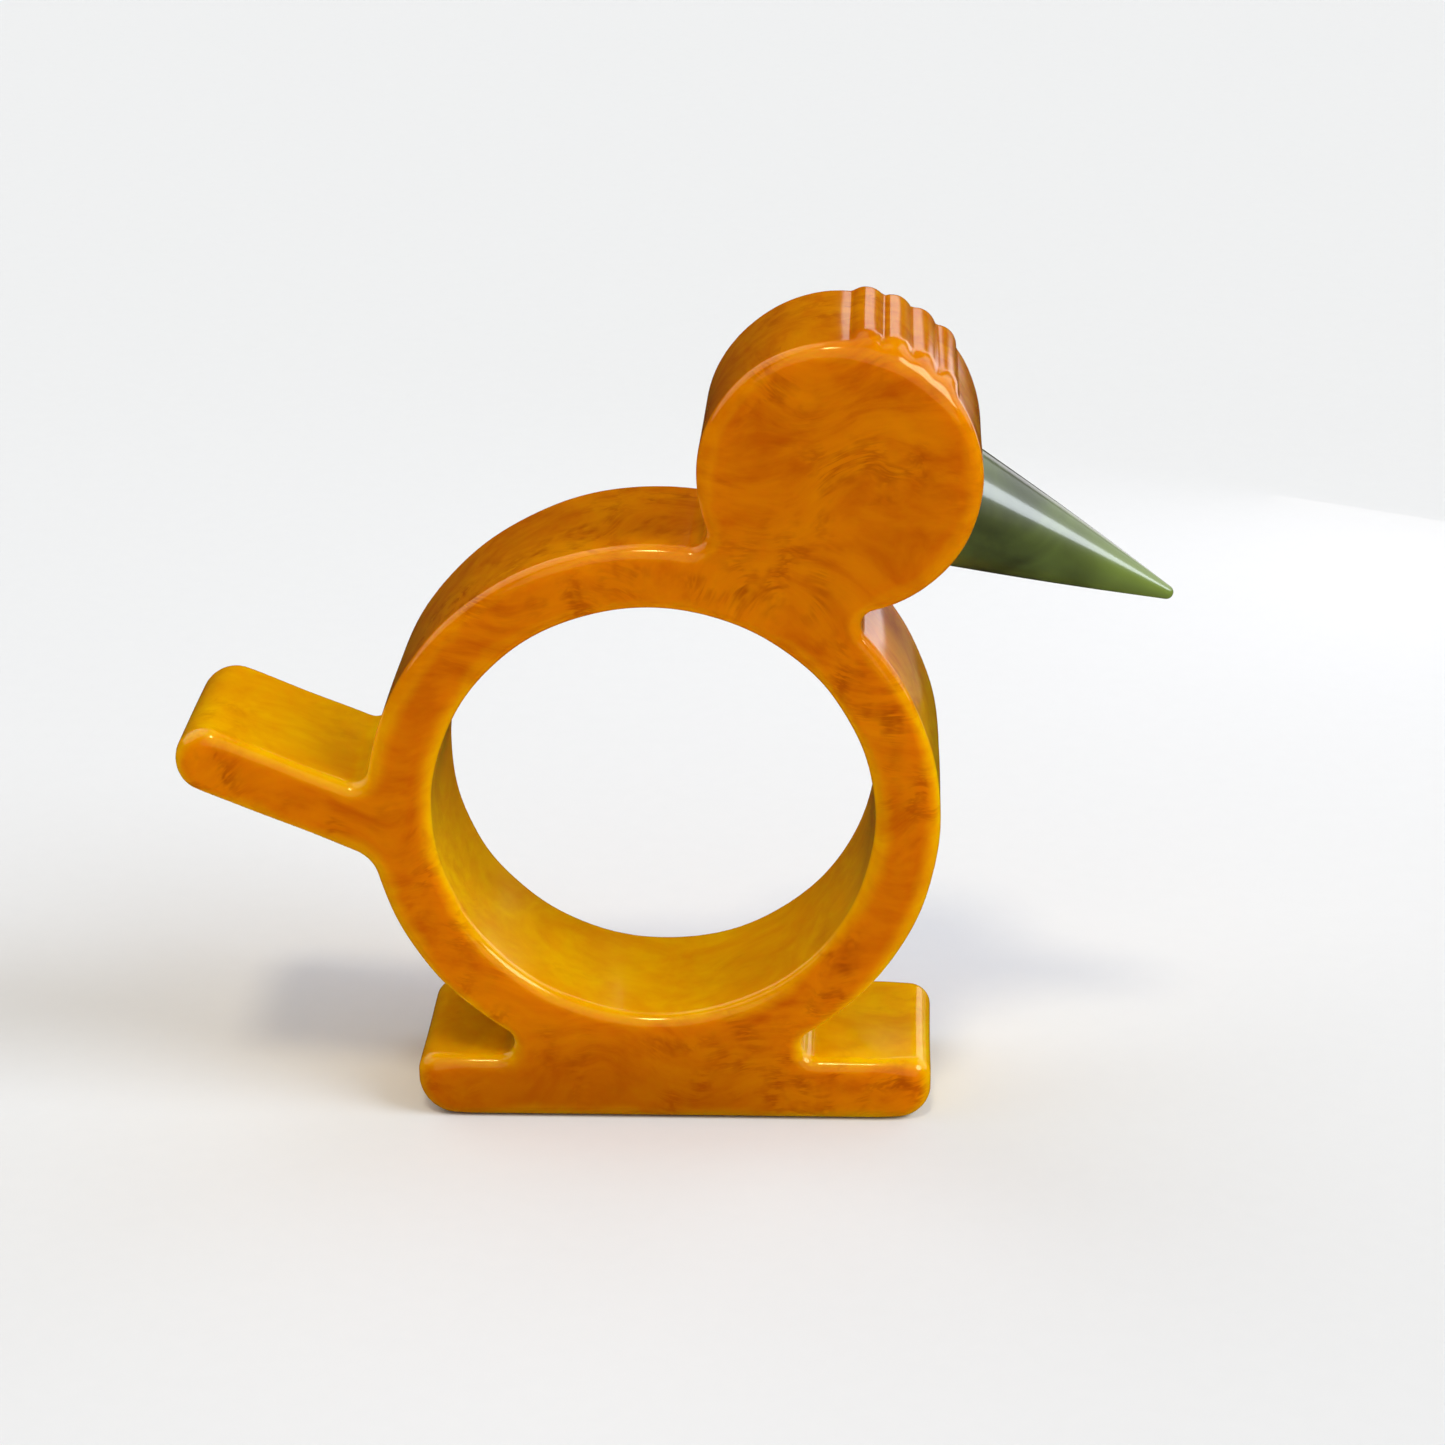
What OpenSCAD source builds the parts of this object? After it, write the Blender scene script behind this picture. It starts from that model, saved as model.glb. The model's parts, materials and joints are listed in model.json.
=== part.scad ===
// Napkin ring in the shape of a perched bird, sawn from a sheet of cast phenolic resin,
// with a turned beak cemented into its head. Millimetres, +Z up, beak towards +X.
// The origin is on the resting plane, straight below the centre of the napkin bore.

/* [Ring] */
// Diameter of the hole that the napkin goes through
bore_d = 38; // [32:1:50]
// Wall of the ring between the bore and the rim
ring_wall = 5.6; // [4:0.2:9]
// Thickness of the sheet that the bird is sawn from, front face to back face
sheet_t = 16.7; // [12:0.1:24]
// Rounding that polishing leaves along every sawn edge
edge_r = 1.1; // [0.6:0.1:1.2]
// Radius of the saw's turn where two outlines meet
notch_r = 1.4; // [0.8:0.1:2]

/* [Foot] */
// Thickness of the flat foot
foot_t = 5.8; // [4.5:0.1:9]
// Reach of the foot in front of the bore's centre
foot_front = 24; // [14:0.5:34]
// Reach of the foot behind the bore's centre
foot_back = 21.3; // [14:0.1:34]
// Depth that the ring is let into the top of the foot
ring_sink = 1.3; // [0.8:0.1:2.5]
// Radius of the foot's lower front corner
foot_front_low_r = 2.8; // [1.5:0.1:3.6]
// Radius of the foot's lower back corner
foot_back_low_r = 3.2; // [1.5:0.1:3.6]
// Radius of the foot's two upper corners
foot_top_r = 1.8; // [1.3:0.1:2.2]

/* [Tail] */
// Thickness of the straight tail
tail_t = 5.7; // [4:0.1:9]
// Length of the tail beyond the ring, along its middle
tail_len = 17.5; // [8:0.5:30]
// Slope of the tail above the horizontal, in degrees
tail_slope = 23; // [0:1:40]
// Distance from the bore's centre down to the tail's middle line, square to the tail
tail_drop = 10.4; // [0:0.1:13]
// Radius of the tail's end corners
tail_end_r = 2.8; // [1.4:0.1:2.8]
// Radius of the hollow where the tail's underside runs into the ring
tail_root_r = 3.2; // [1.5:0.1:5]

/* [Head] */
// Diameter of the round head
head_d = 23.6; // [18:0.2:32]
// Direction from the bore's centre to the head's centre, in degrees above the horizontal
head_dir = 62.2; // [45:0.2:80]
// Depth that the head and the ring run into each other
head_sink = 2.1; // [1.5:0.1:3.5]

/* [Comb] */
// Number of waves in the comb along the brow
comb_count = 4; // [2:1:5]
// Direction of the highest wave from the head's centre, in degrees above the horizontal
comb_first = 79; // [60:1:95]
// Angle from one wave to the next, in degrees
comb_pitch = 12.2; // [10:0.1:14]
// Radius of one wave
comb_r = 1.8; // [1.4:0.1:2.4]
// Height of the waves above the head's rim
comb_rise = 0.6; // [0.3:0.1:1]
// Radius of the valleys between the waves
comb_valley_r = 0.3; // [0.2:0.1:0.5]

/* [Beak] */
// Diameter of the beak at its shoulder
beak_d = 10.7; // [7:0.1:13]
// Length of the beak from its shoulder to its tip
beak_len = 20.7; // [10:0.1:32]
// Radius that the beak's tip is rounded to
beak_tip_r = 0.6; // [0.4:0.1:1.2]
// Dip of the beak below the horizontal, in degrees
beak_dip = 23.4; // [5:0.1:35]
// Distance of the beak's axis below the head's centre
beak_drop = 0.55; // [0:0.05:2]
// Depth of the beak's round seat, below where the beak's edge meets the head's rim
seat_sink = 0.1; // [0.05:0.05:1]
// Diameter of the beak's tenon
tenon_d = 4; // [3:0.1:6]
// Length of the beak's tenon
tenon_len = 6; // [3:0.5:9]
// Thickness of the cement between the beak and the head
cement_t = 0.1; // [0.05:0.05:0.3]
// Extra radius of the seat round the beak's shoulder
seat_gap = 0.1; // [0.05:0.05:0.3]

/* [Hidden] */

ring_r = bore_d / 2 + ring_wall;
ring_z = foot_t + ring_r - ring_sink;
head_r = head_d / 2;
head_reach = ring_r + head_r - head_sink;
head_x = head_reach * cos(head_dir);
head_z = ring_z + head_reach * sin(head_dir);
tail_tip = sqrt(pow(ring_r, 2) - pow(tail_drop, 2)) + tail_len;
seat_x = sqrt(pow(head_r, 2) - pow(beak_d / 2 + beak_drop, 2)) - seat_sink;
shoulder_x = seat_x + cement_t;
tenon_chamfer = 0.4;
past = 1; // how far a cutter runs past the surface that it opens
resin = [0.78, 0.44, 0.04];
beak_green = [0.25, 0.31, 0.12];
cement_tint = [0.86, 0.74, 0.42];
arc_fn = 96;
chord_gap = 0.02; // how far a facet of the outline may lie inside its true arc
edge_facets = 3; // facets across each rounded edge
flat_step = 0.01; // width of the square step left where a rounded edge meets a flat face

// Direction in degrees from one point to another
function dir(from, to) = atan2(to[1] - from[1], to[0] - from[0]);
function polar(r, angle) = r * [cos(angle), sin(angle)];
// Moves an angle by whole turns until it is the next one reached from start
function onward(start, angle) = angle < start ? onward(start, angle + 360) : angle;
function backward(start, angle) = angle > start ? backward(start, angle - 360) : angle;

// Centre of the fillet of radius k between two discs, each given as [centre, radius].
// side is 1 to the left of the line from a's centre to b's, and -1 to its right.
function disc_fillet(a, b, k, side) =
    let (
        gap = norm(b[0] - a[0]),
        ra = a[1] + k,
        rb = b[1] + k,
        along = (ra * ra - rb * rb + gap * gap) / (2 * gap),
        across = sqrt(ra * ra - along * along)
    )
    a[0] + along * (b[0] - a[0]) / gap
        + side * across * [a[0][1] - b[0][1], b[0][0] - a[0][0]] / gap;

// Centre of the fillet of radius k between a disc and a straight face, where the face has
// the outward direction facing and runs rise away from the disc's centre.
// side is 1 to the left of that direction, and -1 to its right.
function face_fillet(disc, facing, rise, k, side) =
    let (
        out = rise + k,
        across = sqrt(pow(disc[1] + k, 2) - out * out)
    )
    disc[0] + polar(out, facing) + polar(across, facing + side * 90);

// A corner's radius, limited so that it and the corner beside it fit in their wall
function within(r, beside, wall) = min(r, r * wall / (r + beside));

// An arc of the outline is [centre, radius, first angle, last angle, sense], run
// anticlockwise round the bird: sense is 1 on an outer curve and -1 in a hollow.
function outer(centre, r, a0, a1) = [centre, r, a0, onward(a0, a1), 1];
function hollow(centre, r, a0, a1) = [centre, r, a0, backward(a0, a1), -1];

// Points along an arc as [x, z, outward x, outward z]
function arc_points(arc) =
    let (
        turn = arc[3] - arc[2],
        steps = max(2, ceil(abs(turn) / (2 * acos(1 - chord_gap / arc[1]))))
    )
    [for (i = [0 : steps]) let (
        a = arc[2] + turn * i / steps,
        place = arc[0] + polar(arc[1], a),
        out = arc[4] * polar(1, a)
    ) [place[0], place[1], out[0], out[1]]];

ring = [[0, ring_z], ring_r];
head = [[head_x, head_z], head_r];

// The foot's corners and the hollows where the ring stands on it
front_notch = face_fillet(ring, 90, foot_t - ring_z, notch_r, -1);
back_notch = face_fillet(ring, 90, foot_t - ring_z, notch_r, 1);
front_low = within(foot_front_low_r, foot_top_r, foot_t);
front_top = within(foot_top_r, foot_front_low_r, foot_t);
back_low = within(foot_back_low_r, foot_top_r, foot_t);
back_top = within(foot_top_r, foot_back_low_r, foot_t);
foot_front_arcs = [
    outer([foot_front - front_low, front_low], front_low, -90, 0),
    outer([foot_front - front_top, foot_t - front_top], front_top, 0, 90)
];
foot_back_arcs = [
    outer([back_top - foot_back, foot_t - back_top], back_top, 90, 180),
    outer([back_low - foot_back, back_low], back_low, 180, 270)
];

// The hollows between the ring and the head
throat = disc_fillet(ring, head, notch_r, -1);
nape = disc_fillet(ring, head, notch_r, 1);

// The comb's waves from the lowest to the highest, and the valleys beside them
waves = [for (i = [comb_count - 1 : -1 : 0])
    [head[0] + polar(head_r + comb_rise - comb_r, comb_first - i * comb_pitch), comb_r]];
crests = concat([head], waves, [head]);
valleys = [for (i = [0 : comb_count]) disc_fillet(crests[i], crests[i + 1], comb_valley_r, -1)];
comb_arcs = [for (i = [0 : comb_count]) each concat(
    [hollow(valleys[i], comb_valley_r, dir(valleys[i], crests[i][0]),
        dir(valleys[i], crests[i + 1][0]))],
    i < comb_count ? [outer(crests[i + 1][0], comb_r, dir(crests[i + 1][0], valleys[i]),
        dir(crests[i + 1][0], valleys[i + 1]))] : []
)];

// The tail's upper face looks tail_up and its lower face the other way
tail_dir = 180 - tail_slope;
tail_up = 90 - tail_slope;
tail_top_rise = tail_t / 2 - tail_drop;
tail_low_rise = tail_t / 2 + tail_drop;
tail_top_notch = face_fillet(ring, tail_up, tail_top_rise, notch_r, 1);
tail_low_notch = face_fillet(ring, tail_up + 180, tail_low_rise, tail_root_r, -1);
tail_end = within(tail_end_r, tail_end_r, tail_t);
tail_top_corner = ring[0] + polar(tail_tip - tail_end, tail_dir)
    + polar(tail_top_rise - tail_end, tail_up);
tail_low_corner = ring[0] + polar(tail_tip - tail_end, tail_dir)
    - polar(tail_low_rise - tail_end, tail_up);
tail_arcs = [
    hollow(tail_top_notch, notch_r, dir(tail_top_notch, ring[0]), tail_up + 180),
    outer(tail_top_corner, tail_end, tail_up, tail_dir),
    outer(tail_low_corner, tail_end, tail_dir, tail_up + 180),
    hollow(tail_low_notch, tail_root_r, tail_up, dir(tail_low_notch, ring[0]))
];

outline_arcs = concat(
    foot_front_arcs,
    [
        hollow(front_notch, notch_r, -90, dir(front_notch, ring[0])),
        outer(ring[0], ring_r, dir(ring[0], front_notch), dir(ring[0], throat)),
        hollow(throat, notch_r, dir(throat, ring[0]), dir(throat, head[0])),
        outer(head[0], head_r, dir(head[0], throat), dir(head[0], valleys[0]))
    ],
    comb_arcs,
    [
        outer(head[0], head_r, dir(head[0], valleys[comb_count]), dir(head[0], nape)),
        hollow(nape, notch_r, dir(nape, head[0]), dir(nape, ring[0])),
        outer(ring[0], ring_r, dir(ring[0], nape), dir(ring[0], tail_top_notch))
    ],
    tail_arcs,
    [
        outer(ring[0], ring_r, dir(ring[0], tail_low_notch), dir(ring[0], back_notch)),
        hollow(back_notch, notch_r, dir(back_notch, ring[0]), -90)
    ],
    foot_back_arcs
);

// Where one arc ends at the point that the next one starts from, only one is kept
all_points = [for (arc = outline_arcs) each arc_points(arc)];
outline = [for (i = [0 : len(all_points) - 1]) let (
    p = all_points[i],
    q = all_points[(i + 1) % len(all_points)]
) if (norm([p[0] - q[0], p[1] - q[1]]) > 0.001) p];

// Each layer of the rounded sheet is [place through the sheet, inset of the outline].
// The outermost layer runs past the face, where the sheet's flat faces cut it off.
edge_steps = [for (i = [0 : edge_facets]) 90 * i / edge_facets];
back_layers = concat(
    [for (a = edge_steps)
        [sheet_t / 2 - flat_step - edge_r * (1 - sin(a)), edge_r * (1 - cos(a))]],
    [[sheet_t / 2 + past, edge_r]]
);
layers = concat(
    [for (i = [len(back_layers) - 1 : -1 : 0]) [-back_layers[i][0], back_layers[i][1]]],
    back_layers
);

// The bird's rounded outline, standing on its foot and running past both faces
module rounded_outline() {
    n = len(outline);
    last = len(layers) - 1;
    points = [for (layer = layers) each [for (p = outline)
        [p[0] - p[2] * layer[1], layer[0], p[1] - p[3] * layer[1]]]];
    walls = [for (j = [0 : last - 1]) each [for (i = [0 : n - 1])
        [j * n + i, j * n + (i + 1) % n, (j + 1) * n + (i + 1) % n, (j + 1) * n + i]]];
    front = [for (i = [n - 1 : -1 : 0]) i];
    back = [for (i = [0 : n - 1]) last * n + i];
    polyhedron(points, concat([front], walls, [back]));
}

// The same outline cut off at the sheet's two flat faces
module rounded_bird() {
    span = 4 * (ring_r + tail_len + head_d);
    intersection() {
        rounded_outline();
        translate([-span / 2, -sheet_t / 2, -span / 2]) cube([span, sheet_t, span]);
    }
}

// Cutter for the bore, flared at both mouths to the polished edge radius
module bore_cutter() {
    bore_r = bore_d / 2;
    half = sheet_t / 2;
    flare = [for (a = [0 : 10 : 80]) [
        bore_r + edge_r * (1 - cos(a)),
        half - edge_r + edge_r * sin(a)
    ]];
    upper = concat(flare, [[bore_r + edge_r + past, half + past]]);
    lower = [for (i = [len(upper) - 1 : -1 : 0]) [upper[i][0], -upper[i][1]]];
    translate([0, 0, ring_z]) rotate([90, 0, 0])
        rotate_extrude($fn = arc_fn)
            polygon(concat([[0, -half - past]], lower, upper, [[0, half + past]]));
}

// Puts its children on the beak's axis, with +Z along the axis from beside the head's centre
module on_beak_axis() {
    translate([head_x, 0, head_z]) rotate([0, 90 + beak_dip, 0])
        translate([beak_drop, 0, 0]) children();
}

// Cutter for the round seat and the blind hole below it
module beak_socket() {
    on_beak_axis() {
        translate([0, 0, seat_x])
            cylinder(d = beak_d + 2 * seat_gap, h = head_r - seat_x + past, $fn = arc_fn);
        translate([0, 0, shoulder_x - tenon_len - cement_t])
            cylinder(d = tenon_d + 2 * cement_t, h = tenon_len + past, $fn = arc_fn);
    }
}

// The socket is drilled first and the bore is turned second
module bird_body() {
    color(resin) difference() {
        difference() {
            rounded_bird();
            beak_socket();
        }
        bore_cutter();
    }
}

// Turned cone with a rounded tip and a tenon, drawn as half of its section
module beak() {
    beak_r = beak_d / 2;
    tenon_r = tenon_d / 2;
    tip_centre = beak_len - beak_tip_r;
    reach = sqrt(pow(tip_centre, 2) + pow(beak_r, 2));
    taper = atan(beak_r / tip_centre) - asin(beak_tip_r / reach);
    tip = [for (i = [0 : 6]) let (a = taper + (90 - taper) * i / 6)
        [beak_tip_r * cos(a), tip_centre + beak_tip_r * sin(a)]];
    color(beak_green) on_beak_axis() translate([0, 0, shoulder_x])
        rotate_extrude($fn = arc_fn)
            polygon(concat(
                [[0, -tenon_len], [tenon_r - tenon_chamfer, -tenon_len]],
                [[tenon_r, -tenon_len + tenon_chamfer], [tenon_r, 0], [beak_r, 0]],
                tip
            ));
}

// Film of cement: a washer below the shoulder and a sleeve round the tenon
module beak_cement() {
    beak_r = beak_d / 2;
    tenon_r = tenon_d / 2;
    sleeve_end = -tenon_len + tenon_chamfer;
    color(cement_tint) on_beak_axis() translate([0, 0, shoulder_x])
        rotate_extrude($fn = arc_fn)
            polygon([
                [tenon_r, 0], [tenon_r, sleeve_end],
                [tenon_r + cement_t, sleeve_end], [tenon_r + cement_t, -cement_t],
                [beak_r, -cement_t], [beak_r, 0]
            ]);
}

bird_body();
beak();
beak_cement();
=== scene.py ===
"""Studio scene of a napkin ring in the shape of a perched bird.

The bird is sawn from a sheet of cast phenolic resin and polished, and a turned resin beak is
cemented into its head. Shapes are worked out in millimetres in the CAD model's frame and are
turned to metres when a mesh is made.
"""

import itertools
import json
import logging
import math
from abc import ABC, abstractmethod
from dataclasses import dataclass, field
from enum import Enum

import bpy
import numpy as np
from mathutils import Matrix, Vector


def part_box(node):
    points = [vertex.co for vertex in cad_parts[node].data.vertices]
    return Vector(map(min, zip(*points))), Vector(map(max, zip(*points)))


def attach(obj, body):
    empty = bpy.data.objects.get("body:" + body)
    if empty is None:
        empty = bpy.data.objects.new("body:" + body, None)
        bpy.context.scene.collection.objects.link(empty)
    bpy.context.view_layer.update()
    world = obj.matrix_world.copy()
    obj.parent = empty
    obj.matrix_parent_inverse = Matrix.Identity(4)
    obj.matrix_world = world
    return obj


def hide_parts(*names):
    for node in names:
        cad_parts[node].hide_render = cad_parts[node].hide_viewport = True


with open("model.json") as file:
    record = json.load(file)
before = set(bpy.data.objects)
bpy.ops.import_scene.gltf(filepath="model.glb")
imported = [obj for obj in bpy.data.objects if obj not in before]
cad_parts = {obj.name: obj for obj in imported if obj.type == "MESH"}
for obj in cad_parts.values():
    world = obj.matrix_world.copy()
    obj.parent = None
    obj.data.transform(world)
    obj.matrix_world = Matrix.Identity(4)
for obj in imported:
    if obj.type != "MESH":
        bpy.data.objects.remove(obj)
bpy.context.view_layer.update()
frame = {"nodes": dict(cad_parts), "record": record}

MM = 0.001
ROOT = "root"
RIM_DEPTH = "rim_depth"
SLACK = 1e-4  # how far past a stretch's ends a point still counts as facing it
JOINED = 1e-3  # how near two arcs' ends lie, in millimetres, when they meet
RGBA = 2  # the output of a mix node that gives a colour
SMOOTH = {"interpolation_type": "SMOOTHSTEP"}
Pair = tuple[float, float]
Triple = tuple[float, float, float]
Tones = tuple[str, str, str]
Tree = bpy.types.NodeTree
Socket = bpy.types.NodeSocket
log = logging.getLogger("bird")


# ---------------------------------------------------------------- small tools


def linear(colour: str) -> tuple[float, float, float, float]:
    """Turns an sRGB hex colour to linear light.

    Args:
        colour: The colour as "#RRGGBB".

    Returns:
        Linear red, green and blue, and an alpha of 1.
    """
    def channel(text: str) -> float:
        """Turns one two-digit channel to linear light."""
        c = int(text, 16) / 255.0
        return c / 12.92 if c <= 0.04045 else ((c + 0.055) / 1.055) ** 2.4

    red, green, blue = (channel(colour[i:i + 2]) for i in (1, 3, 5))
    return red, green, blue, 1.0


def add_node(
    tree: Tree,
    kind: str,
    settings: dict[str | int, object] | None = None,
    links: dict[str | int, Socket] | None = None,
    output: str | int = 0,
) -> Socket:
    """Adds one shader node.

    Args:
        tree: The node tree that it goes into.
        kind: The node's type, such as "TexNoise".
        settings: Values by socket name or number, or by the node's own property name. "stops"
            holds a colour ramp's places and colours, from the lowest up.
        links: Sockets that feed this node, by the name or number of the socket they go to.
        output: The name or number of the output that is wanted.

    Returns:
        That output.
    """
    node = tree.nodes.new("ShaderNode" + kind)
    for key, value in (settings or {}).items():
        if key == "stops":
            stops, ramp = list(value), node.color_ramp.elements
            for place, _ in stops[1:-1]:
                ramp.new(place)
            for stop, (place, colour) in zip(ramp, stops):
                stop.position, stop.color = place, linear(colour)
        elif isinstance(key, str) and key in node.bl_rna.properties and key not in node.inputs:
            setattr(node, key, value)
        else:
            node.inputs[key].default_value = value
    for key, socket in (links or {}).items():
        tree.links.new(socket, node.inputs[key])
    return node.outputs[output]


def ease(values: np.ndarray) -> np.ndarray:
    """Smooth step from 0 to 1 as the values go from 0 to 1."""
    t = np.clip(values, 0.0, 1.0)
    return t * t * (3.0 - 2.0 * t)


def polar(radius: float, degrees: float) -> Pair:
    """Point at a radius and an angle in degrees."""
    return radius * math.cos(math.radians(degrees)), radius * math.sin(math.radians(degrees))


def shift(point: Pair, *moves: Pair) -> Pair:
    """Adds moves to a point."""
    return point[0] + sum(m[0] for m in moves), point[1] + sum(m[1] for m in moves)


def heading(start: Pair, end: Pair) -> float:
    """Direction in degrees from one point to another."""
    return math.degrees(math.atan2(end[1] - start[1], end[0] - start[0]))


def sky_way(bearing: float, height: float) -> Vector:
    """Direction towards a place in the surround.

    Args:
        bearing: The angle from +Y towards +X, in degrees.
        height: The angle above the floor's level, in degrees.

    Returns:
        The direction, of length 1.
    """
    across, up = math.radians(bearing), math.radians(height)
    return Vector((math.sin(across) * math.cos(up), math.cos(across) * math.cos(up), math.sin(up)))


# ------------------------------------------------------------ the sawn outline


class Sense(Enum):
    """Which way a curve of the outline bends."""

    OUTER = 1
    HOLLOW = -1


@dataclass(frozen=True)
class Arc:
    """One round stretch of the outline, run anticlockwise round the bird.

    Angles are in degrees and sizes in millimetres, in the plane of the sheet.
    """

    centre: Pair
    radius: float
    start: float
    end: float
    sense: Sense

    @classmethod
    def outer(cls, centre: Pair, radius: float, start: float, end: float) -> "Arc":
        """An outer curve, run to the next place where its angle is end."""
        return cls(centre, radius, start, end + 360.0 * math.ceil((start - end) / 360.0), Sense.OUTER)

    @classmethod
    def hollow(cls, centre: Pair, radius: float, start: float, end: float) -> "Arc":
        """A hollow curve, run back to the next place where its angle is end."""
        return cls(centre, radius, start, end - 360.0 * math.ceil((end - start) / 360.0), Sense.HOLLOW)

    def point(self, degrees: float) -> Pair:
        """Point of the arc at an angle."""
        return shift(self.centre, polar(self.radius, degrees))

    def reach(self, x: np.ndarray, z: np.ndarray) -> np.ndarray:
        """Signed distance from points to this arc, where it is the part that they face.

        Args:
            x: The points' places along the sheet.
            z: The points' heights.

        Returns:
            Distances, positive outside the bird, and infinite for points that face another part.
        """
        dx, dz = x - self.centre[0], z - self.centre[1]
        turn = np.degrees(np.arctan2(dz, dx)) - (min(self.start, self.end) - SLACK)
        faces = np.mod(turn, 360.0) <= abs(self.end - self.start) + 2 * SLACK
        return np.where(faces, self.sense.value * (np.hypot(dx, dz) - self.radius), np.inf)


@dataclass(frozen=True)
class Straight:
    """One straight stretch of the outline, with the bird on its left."""

    start: Pair
    end: Pair

    def reach(self, x: np.ndarray, z: np.ndarray) -> np.ndarray:
        """Signed distance from points to this stretch, where it is the part that they face.

        Args:
            x: The points' places along the sheet.
            z: The points' heights.

        Returns:
            Distances, positive outside the bird, and infinite for points that face another part.
        """
        length = math.dist(self.start, self.end)
        ux, uz = (self.end[0] - self.start[0]) / length, (self.end[1] - self.start[1]) / length
        along = (x - self.start[0]) * ux + (z - self.start[1]) * uz
        across = (x - self.start[0]) * uz - (z - self.start[1]) * ux
        return np.where((along >= -SLACK) & (along <= length + SLACK), across, np.inf)


@dataclass(frozen=True)
class Disc:
    """A disc that the outline runs round."""

    centre: Pair
    radius: float

    def fillet(self, other: "Disc", radius: float, side: int) -> Pair:
        """Centre of the fillet between this disc and another.

        Args:
            other: The other disc.
            radius: The fillet's radius.
            side: 1 to the left of the line from this disc to the other, and -1 to its right.

        Returns:
            The fillet's centre.
        """
        gap = math.dist(self.centre, other.centre)
        ra, rb = self.radius + radius, other.radius + radius
        along = (ra * ra - rb * rb + gap * gap) / (2 * gap)
        across = side * math.sqrt(ra * ra - along * along)
        way = heading(self.centre, other.centre)
        return shift(self.centre, polar(along, way), polar(across, way + 90))

    def face_fillet(self, facing: float, rise: float, radius: float, side: int) -> Pair:
        """Centre of the fillet between this disc and a straight face.

        Args:
            facing: The direction that the face looks in, in degrees.
            rise: How far the face lies from the disc's centre.
            radius: The fillet's radius.
            side: 1 to the left of the direction, and -1 to its right.

        Returns:
            The fillet's centre.
        """
        out = rise + radius
        across = math.sqrt((self.radius + radius) ** 2 - out * out)
        return shift(self.centre, polar(out, facing), polar(across, facing + side * 90))


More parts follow.
